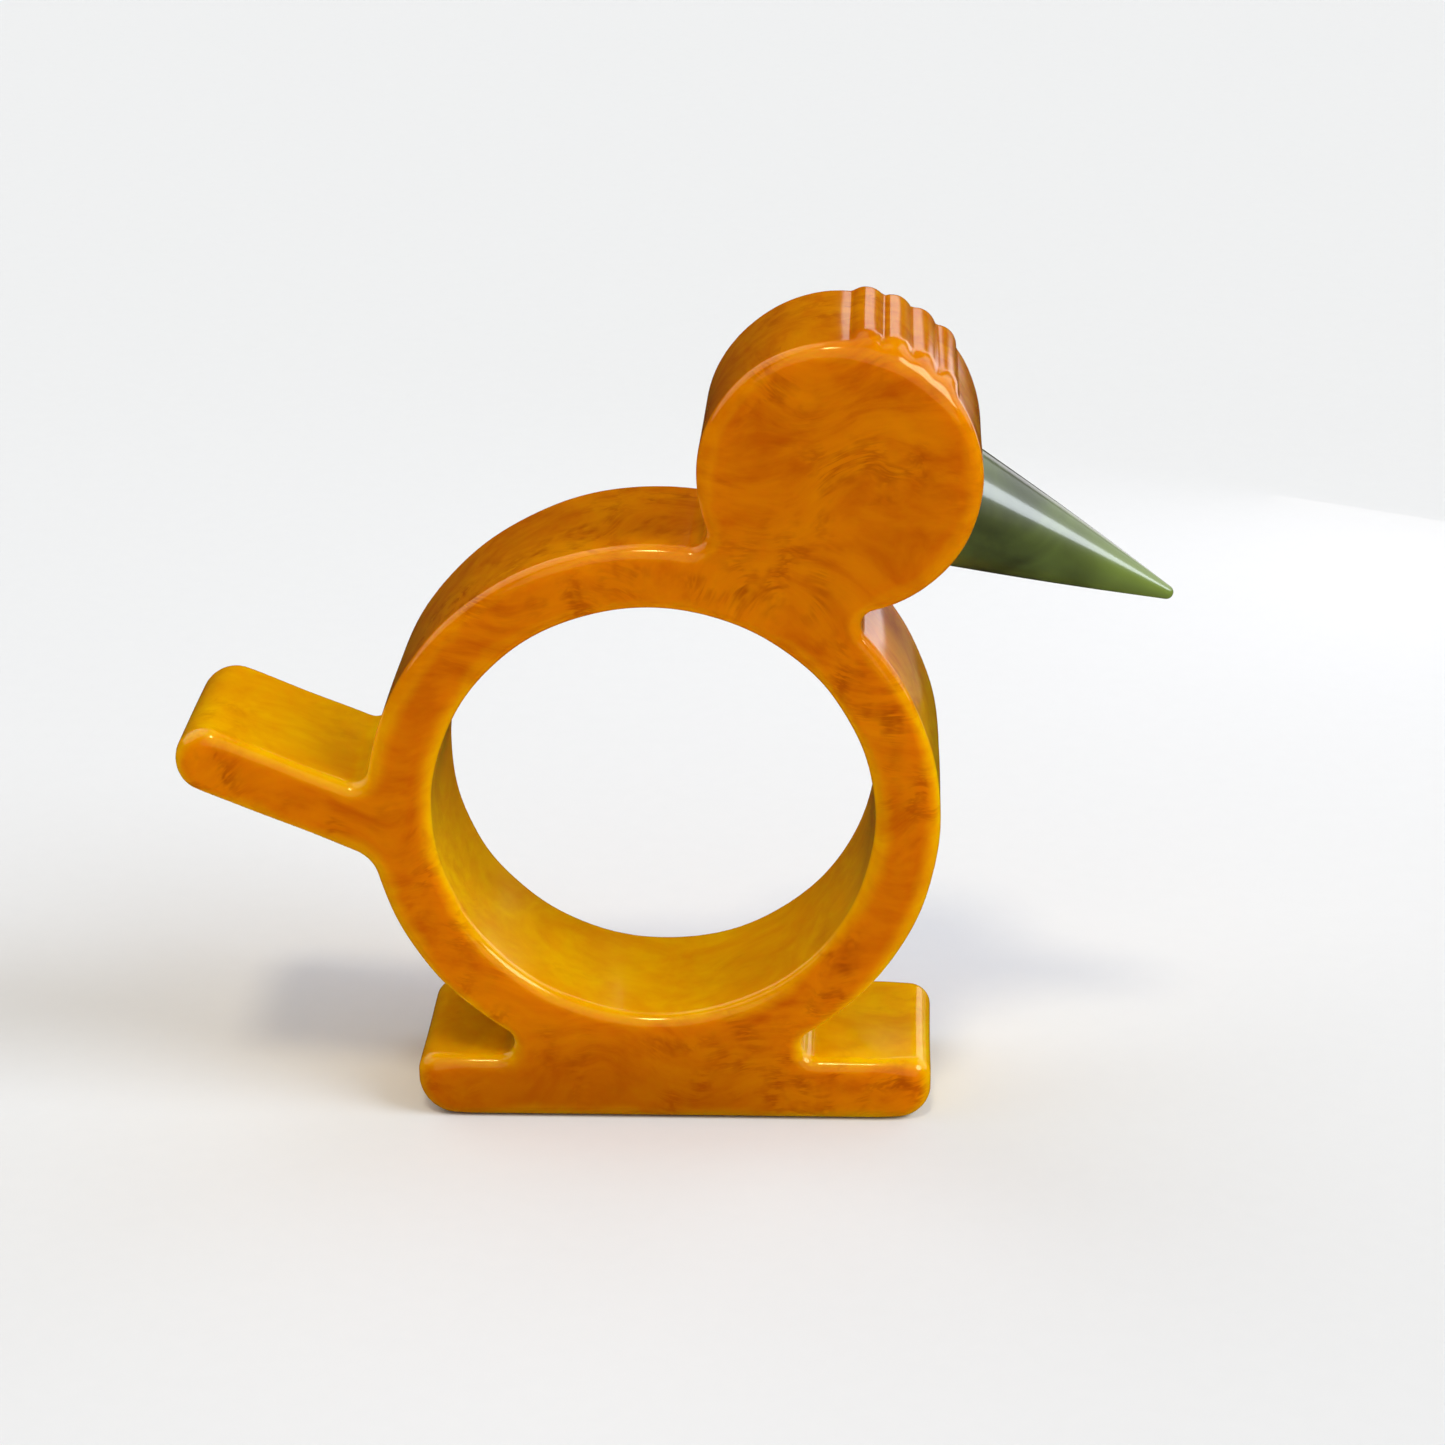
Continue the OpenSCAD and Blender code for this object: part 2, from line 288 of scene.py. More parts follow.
@dataclass(frozen=True)
class BirdPlan:
    """The sizes that the bird is sawn to, in millimetres and degrees, as in the CAD model."""

    bore_r: float
    ring_z: float
    sheet_t: float
    ring_wall: float = 5.6
    notch_r: float = 1.4
    foot_t: float = 5.8
    foot_front: float = 24.0
    foot_back: float = 21.3
    foot_front_low_r: float = 2.8
    foot_back_low_r: float = 3.2
    foot_top_r: float = 1.8
    tail_t: float = 5.7
    tail_len: float = 17.5
    tail_slope: float = 23.0
    tail_drop: float = 10.4
    tail_end_r: float = 2.8
    tail_root_r: float = 3.2
    head_r: float = 11.8
    head_dir: float = 62.2
    head_sink: float = 2.1
    comb_count: int = 4
    comb_first: float = 79.0
    comb_pitch: float = 12.2
    comb_r: float = 1.8
    comb_rise: float = 0.6
    comb_valley_r: float = 0.3

    @property
    def ring(self) -> Disc:
        """The ring's rim."""
        return Disc((0.0, self.ring_z), self.bore_r + self.ring_wall)

    @property
    def head(self) -> Disc:
        """The head's rim."""
        reach = self.ring.radius + self.head_r - self.head_sink
        return Disc(shift(self.ring.centre, polar(reach, self.head_dir)), self.head_r)

    @staticmethod
    def within(radius: float, beside: float, wall: float) -> float:
        """A corner's radius, so limited that it and the corner beside it fit in their wall."""
        return min(radius, radius * wall / (radius + beside))

    @property
    def tail_tip(self) -> float:
        """Distance of the tail's end from the bore's centre, along the tail."""
        return math.sqrt(self.ring.radius ** 2 - self.tail_drop ** 2) + self.tail_len

    def comb(self) -> list[Arc]:
        """The comb's waves and valleys.

        Returns:
            The arcs, from the beak's side to the top of the head.
        """
        head = self.head
        waves = [
            Disc(
                shift(head.centre, polar(
                    self.head_r + self.comb_rise - self.comb_r,
                    self.comb_first - i * self.comb_pitch,
                )),
                self.comb_r,
            )
            for i in reversed(range(self.comb_count))
        ]
        crests = [head, *waves, head]
        valleys = [a.fillet(b, self.comb_valley_r, -1) for a, b in itertools.pairwise(crests)]
        arcs: list[Arc] = []
        for i, valley in enumerate(valleys):
            before, after = crests[i].centre, crests[i + 1].centre
            arcs.append(Arc.hollow(
                valley, self.comb_valley_r, heading(valley, before), heading(valley, after)
            ))
            if i < self.comb_count:
                arcs.append(Arc.outer(
                    after, self.comb_r, heading(after, valley), heading(after, valleys[i + 1])
                ))
        return arcs

    def tail(self) -> list[Arc]:
        """The tail's corners and the hollows at its root.

        Returns:
            The four arcs, from the tail's top to its underside.
        """
        ring = self.ring
        up, out = 90 - self.tail_slope, 180 - self.tail_slope
        top_rise = self.tail_t / 2 - self.tail_drop
        low_rise = self.tail_t / 2 + self.tail_drop
        top_notch = ring.face_fillet(up, top_rise, self.notch_r, 1)
        low_notch = ring.face_fillet(up + 180, low_rise, self.tail_root_r, -1)
        end_r = self.within(self.tail_end_r, self.tail_end_r, self.tail_t)
        end = polar(self.tail_tip - end_r, out)
        top_corner = shift(ring.centre, end, polar(top_rise - end_r, up))
        low_corner = shift(ring.centre, end, polar(end_r - low_rise, up))
        return [
            Arc.hollow(top_notch, self.notch_r, heading(top_notch, ring.centre), up + 180),
            Arc.outer(top_corner, end_r, up, out),
            Arc.outer(low_corner, end_r, out, up + 180),
            Arc.hollow(low_notch, self.tail_root_r, up, heading(low_notch, ring.centre)),
        ]

    def foot_end(self, reach: float, low_r: float, way: int) -> list[Arc]:
        """The two corners at one end of the foot.

        Args:
            reach: How far that end lies from the bore's centre.
            low_r: The lower corner's radius.
            way: 1 for the front end and -1 for the back end.

        Returns:
            The two arcs, in the order in which the outline passes them.
        """
        low = self.within(low_r, self.foot_top_r, self.foot_t)
        top = self.within(self.foot_top_r, low_r, self.foot_t)
        low_at, top_at = (way * (reach - low), low), (way * (reach - top), self.foot_t - top)
        if way > 0:
            return [Arc.outer(low_at, low, -90, 0), Arc.outer(top_at, top, 0, 90)]
        return [Arc.outer(top_at, top, 90, 180), Arc.outer(low_at, low, 180, 270)]

    def outline(self) -> list[Arc | Straight]:
        """The whole outline.

        Returns:
            The arcs from the front of the foot round over the head to its back, and then the
            straight stretches.
        """
        ring, head = self.ring, self.head
        foot_rise = self.foot_t - self.ring_z
        front_notch = ring.face_fillet(90, foot_rise, self.notch_r, -1)
        back_notch = ring.face_fillet(90, foot_rise, self.notch_r, 1)
        throat = ring.fillet(head, self.notch_r, -1)
        nape = ring.fillet(head, self.notch_r, 1)
        comb, tail = self.comb(), self.tail()
        arcs = [
            *self.foot_end(self.foot_front, self.foot_front_low_r, 1),
            Arc.hollow(front_notch, self.notch_r, -90, heading(front_notch, ring.centre)),
            self._rim(ring, front_notch, throat),
            Arc.hollow(throat, self.notch_r, *self._between(throat, ring, head)),
            self._rim(head, throat, comb[0].centre),
            *comb,
            self._rim(head, comb[-1].centre, nape),
            Arc.hollow(nape, self.notch_r, *self._between(nape, head, ring)),
            self._rim(ring, nape, tail[0].centre),
            *tail,
            self._rim(ring, tail[-1].centre, back_notch),
            Arc.hollow(back_notch, self.notch_r, heading(back_notch, ring.centre), -90),
            *self.foot_end(self.foot_back, self.foot_back_low_r, -1),
        ]
        return self._with_straights(arcs)

    @staticmethod
    def _rim(disc: Disc, start: Pair, end: Pair) -> Arc:
        """The stretch of a disc's rim between two hollows' centres."""
        return Arc.outer(
            disc.centre, disc.radius, heading(disc.centre, start), heading(disc.centre, end)
        )

    @staticmethod
    def _between(hollow: Pair, first: Disc, second: Disc) -> Pair:
        """Directions from a hollow's centre to the two discs that it joins."""
        return heading(hollow, first.centre), heading(hollow, second.centre)

    @staticmethod
    def _with_straights(arcs: list[Arc]) -> list[Arc | Straight]:
        """Adds the straight stretches between arcs that don't meet.

        Args:
            arcs: The arcs, in the order in which the outline passes them.

        Returns:
            The arcs, and the straight stretches after them.
        """
        parts: list[Arc | Straight] = list(arcs)
        for arc, following in zip(arcs, arcs[1:] + arcs[:1]):
            start, end = arc.point(arc.end), following.point(following.start)
            if math.dist(start, end) > JOINED:
                parts.append(Straight(start, end))
        return parts


# ----------------------------------------------------------------- mesh making


def surface_net(values: np.ndarray, origin: np.ndarray, step: float) -> tuple[np.ndarray, np.ndarray]:
    """Wraps a closed net of four-sided faces round the negative part of a field.

    Args:
        values: The field at the points of a regular grid.
        origin: The place of the grid's first point.
        step: The grid's spacing.

    Returns:
        The net's points, and its faces as four point numbers each.
    """
    inside = values < 0
    cells = tuple(n - 1 for n in values.shape)
    windows = list(itertools.product((0, 1), repeat=3))
    count = sum(
        inside[i:i + cells[0], j:j + cells[1], k:k + cells[2]].astype(np.int8) for i, j, k in windows
    )
    active = (count > 0) & (count < 8)
    number = np.full(cells, -1, dtype=np.int64)
    number[active] = np.arange(active.sum())
    corner = np.argwhere(active)
    total, hits = np.zeros(corner.shape), np.zeros(len(corner))
    for axis in range(3):
        along = np.eye(3, dtype=int)[axis]
        for offset in (np.array(w) for w in windows if w[axis] == 0):
            low = corner + offset
            f0, f1 = values[tuple(low.T)], values[tuple((low + along).T)]
            crossed = (f0 < 0) != (f1 < 0)
            part = np.where(crossed, f0 / np.where(crossed, f0 - f1, 1.0), 0.0)
            total += np.where(crossed[:, None], low + part[:, None] * along, 0.0)
            hits += crossed
    points = origin + step * total / hits[:, None]
    faces = [_net_faces(inside, number, axis) for axis in range(3)]
    return points, np.concatenate(faces)


def _net_faces(inside: np.ndarray, number: np.ndarray, axis: int) -> np.ndarray:
    """Faces of the net that cross the grid's lines along one axis.

    Args:
        inside: Whether each grid point is inside the form.
        number: The number of each cell's point in the net.
        axis: The axis that the lines run along.

    Returns:
        Faces as four point numbers each, turned to look outwards.
    """
    u, v = np.eye(3, dtype=int)[(axis + 1) % 3], np.eye(3, dtype=int)[(axis + 2) % 3]
    first = np.take(inside, range(inside.shape[axis] - 1), axis=axis)
    second = np.take(inside, range(1, inside.shape[axis]), axis=axis)
    faces = []
    for starts_inside in (True, False):
        at = np.argwhere(first & ~second if starts_inside else second & ~first)
        ring = [number[tuple((at - move).T)] for move in (u + v, v, 0 * u, u)]
        faces.append(np.stack(ring if starts_inside else ring[::-1], axis=1))
    return np.concatenate(faces)


def neighbour_average(points: np.ndarray, faces: np.ndarray) -> np.ndarray:
    """Average place of each point's neighbours.

    Args:
        points: The points.
        faces: The four-sided faces whose edges make points neighbours.

    Returns:
        One place for each point.
    """
    total, count = np.zeros(points.shape), np.zeros(len(points))
    for shift_by in (1, 3):
        for own, other in zip(faces.T, np.roll(faces, -shift_by, axis=1).T):
            for axis in range(3):
                total[:, axis] += np.bincount(own, points[other, axis], len(points))
            count += np.bincount(own, minlength=len(points))
    return total / count[:, None]


def mesh_object(
    name: str, points: np.ndarray, faces: list | np.ndarray, normals: np.ndarray | None = None
) -> bpy.types.Object:
    """Makes a smooth-shaded mesh object from points in millimetres.

    Args:
        name: The object's name.
        points: The points, in millimetres.
        faces: The faces, as point numbers.
        normals: The surface's true direction at each point, if it is known.

    Returns:
        The new object, linked to the scene.
    """
    mesh = bpy.data.meshes.new(name)
    mesh.from_pydata((np.asarray(points) * MM).tolist(), [], [list(map(int, f)) for f in faces])
    mesh.validate()
    mesh.shade_smooth()
    if normals is not None:
        mesh.normals_split_custom_set_from_vertices(np.asarray(normals).tolist())
    thing = bpy.data.objects.new(name, mesh)
    bpy.context.scene.collection.objects.link(thing)
    return thing


def give_finish(piece: bpy.types.Object, material: bpy.types.Material) -> None:
    """Puts a material on a piece.

    Args:
        piece: The piece.
        material: The material.
    """
    piece.data.materials.clear()
    piece.data.materials.append(material)


# -------------------------------------------------------------------- finishes


@dataclass(frozen=True)
class Finish(ABC):
    """A material made of nodes, whose patterns are laid out in millimetres."""

    name: str

    def material(self) -> bpy.types.Material:
        """Builds the finish.

        Returns:
            The new material.
        """
        material = bpy.data.materials.new(self.name)
        material.use_nodes = True
        tree = material.node_tree
        tree.nodes.clear()
        place = add_node(tree, "TexCoord", output="Object")
        mm = add_node(tree, "VectorMath", {"operation": "SCALE", "Scale": 1 / MM}, {0: place})
        end = tree.nodes.new("ShaderNodeOutputMaterial")
        tree.links.new(self.surface(tree, mm), end.inputs["Surface"])
        return material

    @abstractmethod
    def surface(self, tree: Tree, mm: Socket) -> Socket:
        """Lays out the finish's pattern and its gloss.

        Args:
            tree: The material's node tree.
            mm: The object's places in millimetres.

        Returns:
            The surface, as the output of its shader.
        """


@dataclass(frozen=True)
class AmberPhenolic(Finish):
    """Cast phenolic resin, poured marbled, sawn, tumbled and polished.

    The eye sees a hard wet gloss, slightly yellow, over a body that glows, because light goes a
    few millimetres into it. Fine red-brown wisps follow the way that the resin flowed as it was
    poured. The sheet's two faces, the whole head and the ring's top under it are painted a shaded
    burnt orange, as painted shade. The sawn edges below the head, and a narrow band along the
    edges of each face, are painted a lighter yellow, as painted light. The foot is painted darker
    low down towards its back end, as painted shade. The wheel's scratches are drawn coarser than
    they are, so that they show.
    """

    name: str = "amber_cast_phenolic"
    # Painted shade on the faces and the head, then painted light on the sawn edges.
    face: Tones = ("#C66000", "#DA7A00", "#E48A00")
    rim: Tones = ("#E29E00", "#E8AE00", "#F0C000")
    tone_places: Triple = (0.36, 0.5, 0.66)
    # Painted shade: the darker tone low on the foot.
    grime: str = "#A65400"
    wisp: str = "#A84A00"
    # Width of the painted lit band along each face's edges, and the share of painted shade left at the
    # edge.
    skin_mm: float = 1.6
    skin_at_rim: float = 0.3
    wander_mm: float = 4.0
    # Painted shade low on the foot: its share at the floor, its share on the sawn edges, its height,
    # and where along the foot it fades out.
    grime_share: float = 0.6
    grime_on_rim: float = 0.6
    grime_mm: float = 12.0
    grime_back_mm: float = 4.0
    grime_front_mm: float = 18.0
    # Painted shade high up, on the head and on the ring's top under it: its share, and the heights
    # where it starts and is full.
    red_share: float = 0.8
    red_from_mm: float = 32.0
    red_to_mm: float = 46.0
    flow_mm: float = 17.0
    flow_reach_mm: float = 8.0
    curl_mm: float = 5.0
    curl_reach_mm: float = 1.2
    drawn_out: Triple = (0.4, 0.8, 1.5)
    cloud_mm: float = 9.0
    streak_mm: float = 2.4
    streak_share: float = 0.45
    wisp_mm: float = 2.2
    wisp_width: float = 0.12
    wisp_gaps: Pair = (0.42, 0.66)
    wisp_share: float = 0.8
    wisp_on_rim: float = 0.2
    ripple_mm: float = 7.0
    ripple_deep_mm: float = 0.12
    scratch_mm: float = 0.5
    scratch_deep_mm: float = 0.02
    ior: float = 1.6
    roughness: float = 0.11
    sheen: str = "#FFE4A8"
    glow: float = 0.7
    glow_reach_mm: Triple = (5.0, 2.2, 0.3)

    def surface(self, tree: Tree, mm: Socket) -> Socket:
        """Lays out the marbling with its painted light and shade, the glow and the polish.

        Args:
            tree: The material's node tree.
            mm: The object's places in millimetres.

        Returns:
            The surface, as the output of its shader.
        """
        poured = self._swirl(tree, mm, self.flow_mm, self.flow_reach_mm)
        flow = self._swirl(tree, poured, self.curl_mm, self.curl_reach_mm)
        return add_node(
            tree, "BsdfPrincipled",
            {
                "Roughness": self.roughness,
                "IOR": self.ior,
                "Specular Tint": linear(self.sheen),
                "Subsurface Weight": self.glow,
                "Subsurface Radius": self.glow_reach_mm,
                "Subsurface Scale": MM,
            },
            {"Base Color": self._marble(tree, flow, mm), "Normal": self._polish(tree, mm)},
        )

    @staticmethod
    def _swirl(tree: Tree, place: Socket, size_mm: float, reach_mm: float) -> Socket:
        """Bends places the way that stirred resin bends its streaks.

        Args:
            tree: The material's node tree.
            place: Places in millimetres.
            size_mm: The size of the eddies.
            reach_mm: How far they carry the resin.

        Returns:
            The bent places in millimetres.
        """
        eddy = add_node(
            tree, "TexNoise", {"Scale": 1 / size_mm, "Detail": 1.0}, {"Vector": place}, "Color"
        )
        push = add_node(tree, "VectorMath", {"operation": "SUBTRACT", 1: (0.5, 0.5, 0.5)}, {0: eddy})
        carry = add_node(tree, "VectorMath", {"operation": "SCALE", "Scale": 2 * reach_mm}, {0: push})
        return add_node(tree, "VectorMath", {"operation": "ADD"}, {0: place, 1: carry})

    def _marble(self, tree: Tree, flow: Socket, mm: Socket) -> Socket:
        """Colour of the marbled resin, with its painted light and shade.

        Args:
            tree: The material's node tree.
            flow: Places bent by the pour, in millimetres.
            mm: Places in millimetres.

        Returns:
            The colour.
        """
        drawn = add_node(tree, "VectorMath", {"operation": "MULTIPLY", 1: self.drawn_out}, {0: flow})
        cloud, streak = (
            add_node(
                tree, "TexNoise", {"Scale": 1 / size_mm, "Detail": detail, "Roughness": rough},
                {"Vector": place},
            )
            for size_mm, detail, rough, place in (
                (self.cloud_mm, 3.0, 0.55, flow), (self.streak_mm, 4.0, 0.6, drawn),
            )
        )
        blend = add_node(
            tree, "Mix", {"data_type": "FLOAT", 0: self.streak_share}, {2: cloud, 3: streak}
        )
        face, rim = (
            add_node(tree, "ValToRGB", {"stops": zip(self.tone_places, tones)}, {"Fac": blend})
            for tones in (self.face, self.rim)
        )
        # Painted light and shade: the faces and the head take the shaded tone; the sawn edges and a
        # band along the faces' edges take the lit tone.
        painted_shade = self._skin(tree, cloud, mm)
        colour = add_node(tree, "Mix", {"data_type": "RGBA"}, {0: painted_shade, 6: rim, 7: face}, RGBA)
        # Painted shade low on the foot, then the wisps, which are the resin's own colour.
        for tone, strength in (
            (self.grime, self._grime(tree, painted_shade, mm)),
            (self.wisp, self._wisps(tree, drawn, mm, painted_shade)),
        ):
            colour = add_node(
                tree, "Mix", {"data_type": "RGBA", 7: linear(tone)}, {0: strength, 6: colour}, RGBA
            )
        return colour

    def _skin(self, tree: Tree, cloud: Socket, mm: Socket) -> Socket:
        """Share of painted shade: most on the flat faces and the head, least on the sawn edges.

        Args:
            tree: The material's node tree.
            cloud: Soft clouds, which make the border of the painted shade wander.
            mm: Places in millimetres.

        Returns:
            The share from 0 to 1.
        """
        normal = add_node(tree, "NewGeometry", output="Normal")
        facing = add_node(tree, "SeparateXYZ", links={0: normal}, output="Y")
        across = add_node(tree, "Math", {"operation": "ABSOLUTE"}, {0: facing})
        flatness = add_node(tree, "MapRange", SMOOTH | {"From Min": 0.25}, {"Value": across})
        depth = add_node(tree, "Attribute", {"attribute_name": RIM_DEPTH}, output="Fac")
        uneven = add_node(
            tree, "Math", {"operation": "MULTIPLY_ADD", 1: self.wander_mm}, {0: cloud, 2: depth}
        )
        start = self.wander_mm / 2
        inward = add_node(
            tree, "MapRange",
            SMOOTH | {"From Min": start, "From Max": start + self.skin_mm, "To Min": self.skin_at_rim},
            {"Value": uneven},
        )
        face_shade = add_node(tree, "Math", {"operation": "MULTIPLY"}, {0: flatness, 1: inward})
        # Painted shade: high up, the head and the ring's top take the shaded tone.
        high_shade = add_node(
            tree, "MapRange",
            SMOOTH | {
                "From Min": self.red_from_mm, "From Max": self.red_to_mm, "To Max": self.red_share,
            },
            {"Value": add_node(tree, "SeparateXYZ", links={0: mm}, output="Z")},
        )
        return add_node(tree, "Math", {"operation": "MAXIMUM"}, {0: face_shade, 1: high_shade})

    def _grime(self, tree: Tree, painted_shade: Socket, mm: Socket) -> Socket:
        """Strength of the painted shade low on the foot, strongest towards its back end and on the
        faces.

        Args:
            tree: The material's node tree.
            painted_shade: How much painted shade the resin takes.
            mm: Places in millimetres.

        Returns:
            The strength from 0 to 1.
        """
        low = add_node(
            tree, "MapRange",
            SMOOTH | {"From Max": self.grime_mm, "To Min": self.grime_share, "To Max": 0.0},
            {"Value": add_node(tree, "SeparateXYZ", links={0: mm}, output="Z")},
        )
        behind = add_node(
            tree, "MapRange",
            SMOOTH | {
                "From Min": self.grime_back_mm, "From Max": self.grime_front_mm,
                "To Min": 1.0, "To Max": 0.0,
            },
            {"Value": add_node(tree, "SeparateXYZ", links={0: mm}, output="X")},
        )
        low_behind = add_node(tree, "Math", {"operation": "MULTIPLY"}, {0: low, 1: behind})
        hold = add_node(tree, "MapRange", {"To Min": self.grime_on_rim}, {"Value": painted_shade})
        return add_node(tree, "Math", {"operation": "MULTIPLY"}, {0: low_behind, 1: hold})

    def _wisps(self, tree: Tree, drawn: Socket, mm: Socket, painted_shade: Socket) -> Socket:
        """Strength of the thin dark wisps, which come in patches and show most on the faces.

        Args:
            tree: The material's node tree.
            drawn: Places drawn out along the pour, in millimetres.
            mm: Places in millimetres.
            painted_shade: How much painted shade the resin takes.

        Returns:
            The strength from 0 to 1.
        """
        vein = add_node(
            tree, "TexNoise",
            {"Scale": 1 / self.wisp_mm, "Detail": 3.0, "Roughness": 0.7, "Distortion": 0.3},
            {"Vector": drawn},
        )
        middle = add_node(tree, "Math", {"operation": "SUBTRACT", 1: 0.5}, {0: vein})
        away = add_node(tree, "Math", {"operation": "ABSOLUTE"}, {0: middle})
        strength = add_node(
            tree, "MapRange", SMOOTH | {"From Max": self.wisp_width, "To Min": 1.0, "To Max": 0.0},
            {"Value": away},
        )
        start, full = self.wisp_gaps
        for size_mm, most in ((self.cloud_mm, self.wisp_share), (self.wisp_mm, 1.0)):
            patch = add_node(
                tree, "TexNoise", {"Scale": 1 / size_mm, "Detail": 2.0}, {"Vector": mm}
            )
            shown = add_node(
                tree, "MapRange", {"From Min": start, "From Max": full, "To Max": most},
                {"Value": patch},
            )
            strength = add_node(tree, "Math", {"operation": "MULTIPLY"}, {0: strength, 1: shown})
        shade = add_node(tree, "MapRange", {"To Min": self.wisp_on_rim}, {"Value": painted_shade})
        return add_node(tree, "Math", {"operation": "MULTIPLY"}, {0: strength, 1: shade})

    def _polish(self, tree: Tree, mm: Socket) -> Socket:
        """Faint ripples and rubbed scratches that the buffing wheel leaves.

        Args:
            tree: The material's node tree.
            mm: Places in millimetres.

        Returns:
            The surface's direction.
        """
        ripple, scratch = (
            add_node(tree, "TexNoise", {"Scale": 1 / size_mm, "Detail": 2.0}, {"Vector": mm})
            for size_mm in (self.ripple_mm, self.scratch_mm)
        )
        wave = add_node(
            tree, "Bump", {"Strength": 0.25, "Distance": self.ripple_deep_mm * MM},
            {"Height": ripple},
        )
        return add_node(
            tree, "Bump", {"Strength": 0.06, "Distance": self.scratch_deep_mm * MM},
            {"Height": scratch, "Normal": wave},
        )


@dataclass(frozen=True)
class GreenPhenolic(Finish):
    """Olive-green cast phenolic resin, turned to a cone, rubbed down and waxed.

    The eye sees a deep green with faint lighter clouds, under a soft sheen and the clear gloss of the
    wax. Towards the thin tip the green is painted lighter, as painted light shining through the resin.
    The fine grain that rubbing down leaves is drawn coarser than it is, so that it shows.
    """

    name: str = "green_turned_phenolic"
    tones: Tones = ("#3A4416", "#505F22", "#687C30")
    tone_places: Triple = (0.35, 0.52, 0.72)
    # Painted light: the lighter green towards the thin tip, where light shines through the resin.
    tip: str = "#7A9032"
    tip_from_mm: float = 30.0
    tip_to_mm: float = 46.0
    cloud_mm: float = 7.0
    grain_mm: float = 0.45
    grain_deep_mm: float = 0.03
    ior: float = 1.6
    roughness: float = 0.38
    wax: float = 1.0
    wax_roughness: float = 0.12

    def surface(self, tree: Tree, mm: Socket) -> Socket:
        """Lays out the clouds, the tip's painted light, the grain and the wax.

        Args:
            tree: The material's node tree.
            mm: The object's places in millimetres.

        Returns:
            The surface, as the output of its shader.
        """
        cloud = add_node(
            tree, "TexNoise", {"Scale": 1 / self.cloud_mm, "Detail": 4.0, "Distortion": 0.7},
            {"Vector": mm},
        )
        body = add_node(
            tree, "ValToRGB", {"stops": zip(self.tone_places, self.tones)}, {"Fac": cloud}
        )
        # Painted light: the green turns lighter towards the thin tip.
        tip_glow = add_node(
            tree, "MapRange", SMOOTH | {"From Min": self.tip_from_mm, "From Max": self.tip_to_mm},
            {"Value": add_node(tree, "SeparateXYZ", links={0: mm}, output="X")},
        )
        colour = add_node(
            tree, "Mix", {"data_type": "RGBA", 7: linear(self.tip)}, {0: tip_glow, 6: body}, RGBA
        )
        grain = add_node(
            tree, "TexNoise", {"Scale": 1 / self.grain_mm, "Detail": 2.0}, {"Vector": mm}
        )
        bump = add_node(
            tree, "Bump", {"Strength": 0.1, "Distance": self.grain_deep_mm * MM}, {"Height": grain}
        )
        return add_node(
            tree, "BsdfPrincipled",
            {
                "Roughness": self.roughness,
                "IOR": self.ior,
                "Coat Weight": self.wax,
                "Coat Roughness": self.wax_roughness,
            },
            {"Base Color": colour, "Normal": bump},
        )


@dataclass(frozen=True)
class CuredCement(Finish):
    """Clear cement, brushed on and left to cure.

    The eye sees at most a thin honey-coloured line, a little duller than the resin.
    """

    name: str = "cured_cement"
    dark: str = "#8A5A14"
    light: str = "#C8963A"
    lump_mm: float = 1.5
    lump_deep_mm: float = 0.05
    ior: float = 1.5
    roughness: float = 0.35

    def surface(self, tree: Tree, mm: Socket) -> Socket:
        """Lays out the brushed lumps.

        Args:
            tree: The material's node tree.
            mm: The object's places in millimetres.

        Returns:
            The surface, as the output of its shader.
        """
        lumps = add_node(
            tree, "TexNoise", {"Scale": 1 / self.lump_mm, "Detail": 3.0}, {"Vector": mm}
        )
        colour = add_node(
            tree, "ValToRGB", {"stops": ((0.0, self.dark), (1.0, self.light))}, {"Fac": lumps}
        )
        bump = add_node(
            tree, "Bump", {"Strength": 0.2, "Distance": self.lump_deep_mm * MM}, {"Height": lumps}
        )
        return add_node(
            tree, "BsdfPrincipled", {"Roughness": self.roughness, "IOR": self.ior},
            {"Base Color": colour, "Normal": bump},
        )


@dataclass(frozen=True)
class StudioPaper(Finish):
    """Matt white background paper, calendered on the roll.

    The eye sees an even pale floor with soft shadows. The fibres are drawn coarser than they
    are, so that they show at all.
    """

    name: str = "studio_paper"
    light: str = "#E5E9EE"
    dark: str = "#E3E7EC"
    fibre_mm: float = 2.0
    roughness: float = 0.9

    def surface(self, tree: Tree, mm: Socket) -> Socket:
        """Lays out the fibres.

        Args:
            tree: The material's node tree.
            mm: The object's places in millimetres.

        Returns:
            The surface, as the output of its shader.
        """
        fibre = add_node(
            tree, "TexNoise", {"Scale": 1 / self.fibre_mm, "Detail": 2.0}, {"Vector": mm}
        )
        colour = add_node(
            tree, "ValToRGB", {"stops": ((0.0, self.dark), (1.0, self.light))}, {"Fac": fibre}
        )
        return add_node(
            tree, "BsdfPrincipled", {"Roughness": self.roughness, "Specular IOR Level": 0.0},
            {"Base Color": colour},
        )


# ------------------------------------------------------------------ the pieces


